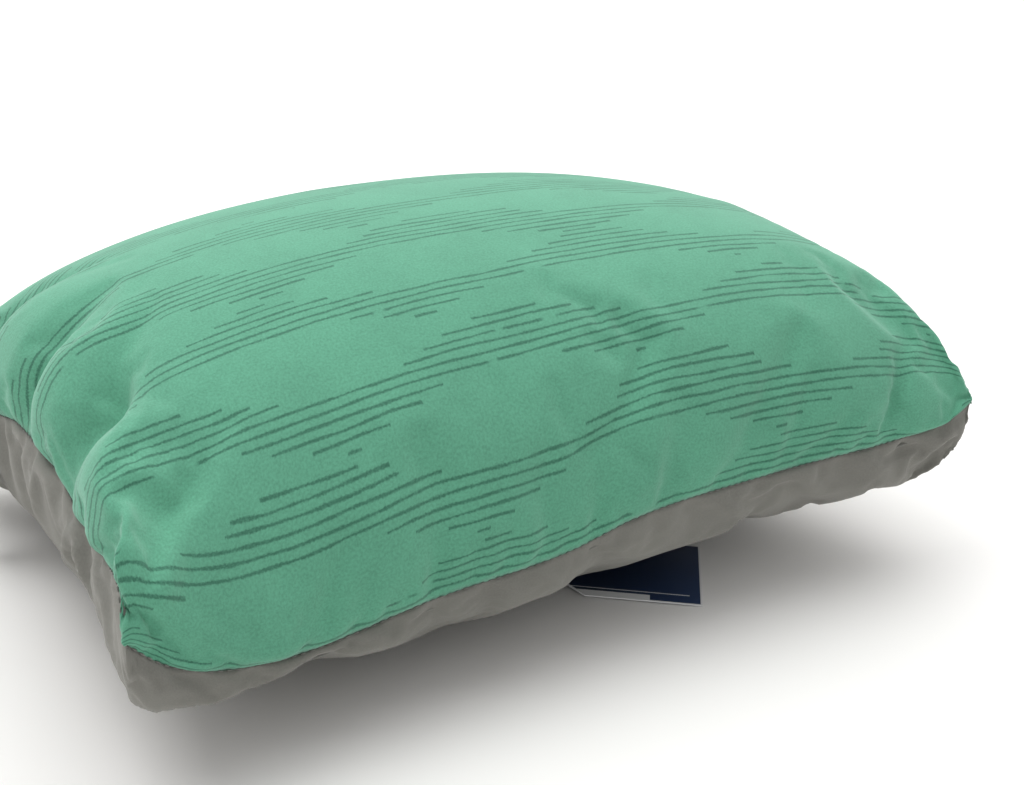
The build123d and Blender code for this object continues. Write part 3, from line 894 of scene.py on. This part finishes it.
def satin_material():
    g = Graph("woven satin tape")
    part = g.separate(g.flat_place())
    ribs = g.math("SINE", g.times(part["Y"], 12000.0))
    x = g.math("ABSOLUTE", part["X"])
    edge = g.ramp(x, 0.0128, 0.0134)
    hem = g.math("COMPARE", part["Y"], -0.0175, 0.0006)
    dash = g.ramp(g.math("SINE", g.times(part["X"], 2600.0)), -0.1, 0.1)
    stitch = g.times(hem, dash)
    tone = g.mix(g.ramp(ribs, -1.0, 1.0, 0.0, 0.14), (0.78, 0.77, 0.74, 1), (0.55, 0.54, 0.52, 1))
    tone = g.mix(g.times(edge, 0.35), tone, (0.6, 0.59, 0.57, 1))
    g.colour(g.mix(g.times(stitch, 0.8), tone, (0.25, 0.25, 0.24, 1)))
    g.surface(rough=0.45, sheen=0.2, spec=0.45)
    g.bump(ribs, 0.2, 0.0002)
    return g.material


def card_material():
    g = Graph("coated navy card with a white edge")
    place = g.put("ShaderNodeMapping", vector_type="TEXTURE")
    g.feed(place.inputs["Vector"], g.object_place())
    place.inputs["Location"].default_value = (TAG_CORNER[0] * MM, TAG_CORNER[1] * MM, 0.0)
    place.inputs["Rotation"].default_value = (0.0, 0.0, float(np.radians(TAG_TURN)))
    part = g.separate(place.outputs[0])
    x = g.times(part["X"], 1000.0)
    y = g.times(part["Y"], 1000.0)
    base = colours().card
    # painted shadow: the card darkens towards the end that runs in under the pillow
    under_pillow_shadow = g.ramp(g.plus(y, g.times(x, 0.4)), 0.0, 60.0)
    card = g.mix(under_pillow_shadow, rgba(base, 1.0), rgba(base, 0.42))
    fibre = g.noise(place.outputs[0], 1300.0, 3.0)
    card = g.mix(g.ramp(fibre, 0.4, 0.8, 0.0, 0.10), card, rgba(base, 2.2))
    corner_cut = 14.0
    to_side = g.math("MINIMUM", x, g.minus(TAG_WIDTH, x))
    to_end = g.math("MINIMUM", y, g.minus(TAG_LENGTH, y))
    to_edge = g.math("MINIMUM", to_side, to_end)
    left_sum = g.plus(x, TAG_LENGTH - corner_cut)
    right_sum = g.minus(TAG_WIDTH + TAG_LENGTH - corner_cut, x)
    clip_left = g.math("DIVIDE", g.minus(left_sum, y), 1.4142)
    clip_right = g.math("DIVIDE", g.minus(right_sum, y), 1.4142)
    to_edge = g.math("MINIMUM", to_edge, g.math("MINIMUM", clip_left, clip_right))
    border = g.ramp(to_edge, 0.7, 0.95, 1.0, 0.0)
    rule = g.math("COMPARE", x, 8.2, 0.32)
    bar = g.times(g.math("LESS_THAN", x, 5.6), g.math("GREATER_THAN", y, 25.0))
    rule = g.times(rule, g.math("GREATER_THAN", y, 6.0))
    white = g.math("MAXIMUM", border, g.math("MAXIMUM", rule, bar))
    g.colour(g.mix(white, card, (0.80, 0.81, 0.82, 1)))
    g.surface(rough=0.38, spec=0.5)
    g.bump(fibre, 0.05, 0.0001)
    return g.material


def nylon_material():
    g = Graph("clear nylon filament")
    cloud = g.noise(g.object_place(), 900.0, 2.0)
    g.colour(g.mix(cloud, (0.72, 0.73, 0.74, 1), (0.88, 0.89, 0.90, 1)))
    g.surface(rough=0.18, spec=0.5)
    g.shader.inputs["Transmission Weight"].default_value = 0.55
    return g.material


def floor_material():
    g = Graph("matt white studio floor")
    mottle = g.noise(g.object_place(), 6.0, 3.0)
    g.colour(g.mix(mottle, (0.895, 0.885, 0.868, 1), (0.905, 0.895, 0.880, 1)))
    g.surface(rough=0.85, spec=0.1)
    return g.material


# Pieces


def tie(obj, node):
    """Puts a piece on the pillow's body, in the place of its CAD node."""
    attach(obj, "pillow")
    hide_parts(node)


def finish_panel(obj, node):
    """Divides and thickens a panel and ties it to the frame."""
    divide_once(obj)
    thicken(obj, shape().cloth)
    tie(obj, node)


class PILLOW_OT_top_panel(bpy.types.Operator):
    """Printed top panel: crowned, gathered at its ends and rolled over the seam"""

    bl_idname = "pillow.top_panel"
    bl_label = "Top panel"

    def execute(self, context):
        obj, edge = panel_mesh(
            "printed_top_panel", top_surface, crown_profile, crown_profile,
            shape().crown, top_fabric(),
        )
        roll_over_seam(obj, edge, 0.0050, 0.013)
        sculpt_folds(obj, TOP_FOLDS, edge)
        pucker_seam(obj, edge, 0.0016, 1.0)
        swell_with_fill(obj, edge)
        finish_panel(obj, "top_panel")
        return {"FINISHED"}


class PILLOW_OT_base_panel(bpy.types.Operator):
    """Grey base panel: a creased bowl that rests on a flat patch"""

    bl_idname = "pillow.base_panel"
    bl_label = "Base panel"

    def execute(self, context):
        obj, edge = panel_mesh(
            "grey_base_panel", base_surface, bowl_across, bowl_through, BASE_DROP, base_fabric(),
        )
        roll_over_seam(obj, edge, 0.0035, 0.018)
        sculpt_folds(obj, BASE_FOLDS, edge)
        pucker_seam(obj, edge, 0.0014, 4.0)
        swell_with_fill(obj, edge)
        seat_eyelet(obj, edge)
        keep_off_floor(obj)
        finish_panel(obj, "bottom_panel")
        return {"FINISHED"}


def seam_loop(count):
    """Evenly spaced points along the sewn edge, outward directions and run directions."""
    t = np.linspace(-1, 1, 400)
    end = np.ones_like(t)
    sides = ((t, -end), (end, t), (-t, end), (-end, -t))
    u = np.concatenate([side[0][:-1] for side in sides])
    v = np.concatenate([side[1][:-1] for side in sides])
    points = seam_surface(u, v) * MM
    closed = np.vstack([points, points[:1]])
    arc = np.concatenate(([0], np.cumsum(np.linalg.norm(np.diff(closed, axis=0), axis=1))))
    at = np.linspace(0, arc[-1], count, endpoint=False)
    spots = np.stack([np.interp(at, arc, closed[:, k]) for k in range(3)], axis=1)
    run = np.roll(spots, -1, axis=0) - np.roll(spots, 1, axis=0)
    run /= np.linalg.norm(run, axis=1)[:, None]
    out = np.cross(run, (0, 0, 1))
    out /= np.linalg.norm(out, axis=1)[:, None]
    return spots, out, run


class PILLOW_OT_seam(bpy.types.Operator):
    """Overlocked seam: the turned-in edge inside, and the row of stitches in the groove"""

    bl_idname = "pillow.seam"
    bl_label = "Seam"

    def execute(self, context):
        thread = thread_material()
        around, across = 480, 12
        spots, out, _ = seam_loop(around)
        bm = bmesh.new()
        bmesh.ops.create_grid(bm, x_segments=around, y_segments=across, size=1.0)
        for vert in bm.verts:
            step = int(round((vert.co.x + 1) / 2 * around)) % around
            turn = (vert.co.y + 1) * np.pi
            to_corner = np.hypot(*(spots[step][:2] - TURNED_CORNER))
            dip = np.exp(-((to_corner / TURNED_CORNER_REACH) ** 2))
            thread_wave = 0.175 * np.sin(step * 2.1)
            wide = 3.6 * np.cos(turn) * (1 - 0.75 * dip) - (5.6 - 2.5 * dip)
            tall = (1.25 + thread_wave) * np.sin(turn) - (5.5 + 5 * dip)
            vert.co = spots[step] + out[step] * wide * MM + np.array((0, 0, tall * MM))
        bmesh.ops.remove_doubles(bm, verts=bm.verts, dist=1e-6)
        bmesh.ops.recalc_face_normals(bm, faces=bm.faces)
        band = new_object("overlocked_edge", bm, thread)
        tie(band, "seam_thread")

        spots, out, run = seam_loop(400)
        bm = bmesh.new()
        for spot, away, along in zip(spots, out, run):
            made = bmesh.ops.create_icosphere(bm, subdivisions=1, radius=1.0)
            turned = Matrix((along, away, np.cross(along, away))).transposed().to_4x4()
            size = Matrix.Diagonal((1.45 * MM, 0.42 * MM, 0.34 * MM, 1.0))
            place = Matrix.Translation(Vector(spot + away * 0.35 * MM))
            bmesh.ops.transform(bm, matrix=place @ turned @ size, verts=made["verts"])
        stitches = new_object("seam_stitches", bm, thread)
        tie(stitches, "seam_thread")
        return {"FINISHED"}


class PILLOW_OT_foam(bpy.types.Operator):
    """Foam fill: a lumpy body of shredded foam, just inside the fabric"""

    bl_idname = "pillow.foam"
    bl_label = "Foam fill"

    def execute(self, context):
        halves = []
        for surface, profile_u, profile_v, rise in (
            (top_surface, crown_profile, crown_profile, shape().crown),
            (base_surface, bowl_across, bowl_through, BASE_DROP),
        ):
            half, _ = panel_mesh(
                "foam_half", surface, profile_u, profile_v, rise, None,
                inset=FOAM_INSET, cell=0.008,
            )
            halves.append(half)
        bm = bmesh.new()
        for half in halves:
            bm.from_mesh(half.data)
            bpy.data.objects.remove(half)
        middle = Vector((0, 0, 0.075))
        for vert in bm.verts:
            vert.co.x *= FOAM_LENGTH_SHARE
            vert.co.y *= FOAM_WIDTH_SHARE
            nearest, second = noise.voronoi(vert.co * 38.0)[0][:2]
            groove = max(0.0, 1 - (second - nearest) * 4)
            vert.co -= (vert.co - middle).normalized() * 0.004 * groove
        edge_loop = [edge for edge in bm.edges if edge.is_boundary]
        bmesh.ops.bridge_loops(bm, edges=edge_loop)
        bmesh.ops.recalc_face_normals(bm, faces=bm.faces)
        foam = new_object("shredded_foam_fill", bm, foam_material())
        tie(foam, "foam_fill")
        return {"FINISHED"}


def cord_piece(name, points, material):
    """A round cord along a smooth curve through its points (mm)."""
    data = bpy.data.curves.new(name, "CURVE")
    data.dimensions = "3D"
    data.bevel_depth = CORD_DIAMETER / 2
    data.bevel_resolution = 3
    data.resolution_u = 8
    data.use_fill_caps = True
    spline = data.splines.new("NURBS")
    spline.points.add(len(points) - 1)
    for target, point in zip(spline.points, points):
        target.co = (*(c * MM for c in point), 1.0)
    spline.order_u = 3
    spline.use_endpoint_u = True
    data.materials.append(material)
    obj = bpy.data.objects.new(name, data)
    bpy.context.scene.collection.objects.link(obj)
    return obj


class PILLOW_OT_drawcord(bpy.types.Operator):
    """Drawcord: two halves from the tacks, along the channel and out through the eyelet"""

    bl_idname = "pillow.drawcord"
    bl_label = "Drawcord"

    def execute(self, context):
        braid = cord_material()
        for name, points, length in (
            ("drawcord_near_half", CORD_NEAR, 0.248),
            ("drawcord_far_half", CORD_FAR, 0.100),
        ):
            obj = cord_piece(name, points, braid)
            tie(obj, "drawcord")
        return {"FINISHED"}


def tape_material():
    g = Graph("grey channel tape")
    grain = g.noise(g.object_place(), 1400.0, 3.0)
    g.colour(g.mix(grain, rgba(colours().base, 0.6), rgba(colours().base, 1.1)))
    g.surface(rough=0.9, sheen=0.2, spec=0.2)
    g.bump(grain, 0.3, 0.0003)
    return g.material


class PILLOW_OT_trims(bpy.types.Operator):
    """Finishes of the channel, tacks, eyelet, cord lock, cord end, tag and its loop"""

    bl_idname = "pillow.trims"
    bl_label = "Trims"

    def execute(self, context):
        plastic = plastic_material()
        metal = metal_material()
        thread = bpy.data.materials["spun seam thread"]
        finishes = {
            "cord_channel": tape_material(),
            "cord_tacks": thread,
            "cord_eyelet": metal,
            "eyelet_washer": metal,
            "lock_barrel": plastic,
            "lock_plunger": plastic,
            "lock_spring": steel_material(),
            "cord_end": plastic,
            "hang_tag": card_material(),
            "tag_loop": nylon_material(),
        }
        for node, material in finishes.items():
            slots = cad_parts[node].material_slots
            if not slots:
                raise RuntimeError(f"{node} has no material slot")
            for item in slots:
                item.material = material
        return {"FINISHED"}


class PILLOW_OT_care_label(bpy.types.Operator):
    """Blank satin label sewn into the back seam"""

    bl_idname = "pillow.care_label"
    bl_label = "Care label"

    def execute(self, context):
        low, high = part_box("care_label")
        middle = (low[0] + high[0]) / 2
        wide = high[0] - low[0]
        tall = high[2] - low[2]
        bm = bmesh.new()
        bmesh.ops.create_grid(bm, x_segments=20, y_segments=28, size=1.0)
        uv = bm.loops.layers.uv.new("flat")
        for face in bm.faces:
            for loop in face.loops:
                loop[uv].uv = (loop.vert.co.x * wide / 2, -loop.vert.co.y * tall / 2)
        for vert in bm.verts:
            across, down = vert.co.x, (1 - vert.co.y) / 2
            curl = 2.2 * MM * down**2 * (1 + 0.5 * across)
            wave = 0.7 * MM * np.sin(across * 2.4) * down
            vert.co = (
                middle - across * wide / 2,
                low[1] + curl + wave + 0.3 * MM,
                high[2] - down * tall,
            )
        bmesh.ops.recalc_face_normals(bm, faces=bm.faces)
        obj = new_object("satin_care_label", bm, satin_material())
        thicken(obj, 0.0004, 0.0)
        tie(obj, "care_label")
        return {"FINISHED"}


class PILLOW_OT_stage(bpy.types.Operator):
    """Pale floor, soft lights and the camera"""

    bl_idname = "pillow.stage"
    bl_label = "Stage"

    def execute(self, context):
        scene = context.scene
        scene.view_settings.view_transform = "Standard"
        bm = bmesh.new()
        bmesh.ops.create_grid(bm, x_segments=8, y_segments=8, size=30.0)
        bmesh.ops.translate(bm, verts=bm.verts, vec=(0, 0, -0.0005))
        floor = new_object("floor", bm, floor_material())
        world = bpy.data.worlds.new("studio")
        scene.world = world
        world.use_nodes = True
        background = world.node_tree.nodes["Background"].inputs
        background["Color"].default_value = (1, 1, 1, 1)
        background["Strength"].default_value = 0.60
        # name, place, size in metres and power in watts
        for name, place, size, power in (
            ("ceiling_softbox", (0.9, 1.9, 3.0), 6.0, 190.0),
            ("overhead_softbox", (-0.5, 0.5, 1.6), 1.2, 7.0),
            ("left_softbox", (-1.7, -0.3, 0.8), 1.0, 1.2),
        ):
            light = bpy.data.lights.new(name, "AREA")
            light.shape = "SQUARE"
            light.size = size
            light.energy = power
            obj = bpy.data.objects.new(name, light)
            towards = Vector((0.5 * place[0], 0.5 * place[1], 0.08)) - Vector(place)
            turn = towards.to_track_quat("-Z", "Y").to_matrix().to_4x4()
            obj.matrix_world = Matrix.Translation(place) @ turn
            scene.collection.objects.link(obj)
        settings = scene.pillow_stage
        a, e = settings.azimuth, settings.elevation
        back = Vector((np.sin(a) * np.cos(e), -np.cos(a) * np.cos(e), np.sin(e)))
        camera = bpy.data.cameras.new("camera")
        camera.lens = 50.0
        camera.sensor_width = 36.0
        camera.clip_start = 0.01
        camera.clip_end = 60.0
        obj = bpy.data.objects.new("camera", camera)
        spot = Vector(settings.target) + back * settings.distance
        turn = back.to_track_quat("Z", "Y").to_matrix().to_4x4()
        roll = Matrix.Rotation(settings.roll, 4, "Z")
        obj.matrix_world = Matrix.Translation(spot) @ turn @ roll
        scene.collection.objects.link(obj)
        scene.camera = obj
        return {"FINISHED"}


class PILLOW_PT_panel(bpy.types.Panel):
    """Buttons for every piece"""

    bl_idname = "PILLOW_PT_panel"
    bl_label = "Camp pillow"
    bl_space_type = "VIEW_3D"
    bl_region_type = "UI"
    bl_category = "Camp pillow"

    def draw(self, context):
        layout = self.layout
        scene = context.scene
        for group in (scene.pillow_shape, scene.pillow_colours, scene.pillow_stage):
            column = layout.column()
            for key in group.__annotations__:
                column.prop(group, key)
        for operator in OPERATORS:
            layout.operator(operator.bl_idname)


GROUPS = (PillowShape, PillowColours, StageSettings)
OPERATORS = (
    PILLOW_OT_stage,
    PILLOW_OT_drawcord,
    PILLOW_OT_top_panel,
    PILLOW_OT_base_panel,
    PILLOW_OT_seam,
    PILLOW_OT_foam,
    PILLOW_OT_trims,
    PILLOW_OT_care_label,
)


def register():
    for item in (*GROUPS, *OPERATORS, PILLOW_PT_panel):
        bpy.utils.register_class(item)
    bpy.types.Scene.pillow_shape = bpy.props.PointerProperty(type=PillowShape)
    bpy.types.Scene.pillow_colours = bpy.props.PointerProperty(type=PillowColours)
    bpy.types.Scene.pillow_stage = bpy.props.PointerProperty(type=StageSettings)


def unregister():
    del bpy.types.Scene.pillow_stage
    del bpy.types.Scene.pillow_colours
    del bpy.types.Scene.pillow_shape
    for item in reversed((*GROUPS, *OPERATORS, PILLOW_PT_panel)):
        bpy.utils.unregister_class(item)


def main():
    register()
    bpy.ops.pillow.stage()
    bpy.ops.pillow.drawcord()
    bpy.ops.pillow.top_panel()
    bpy.ops.pillow.base_panel()
    bpy.ops.pillow.seam()
    bpy.ops.pillow.foam()
    bpy.ops.pillow.trims()
    bpy.ops.pillow.care_label()


if __name__ == "__main__":
    main()
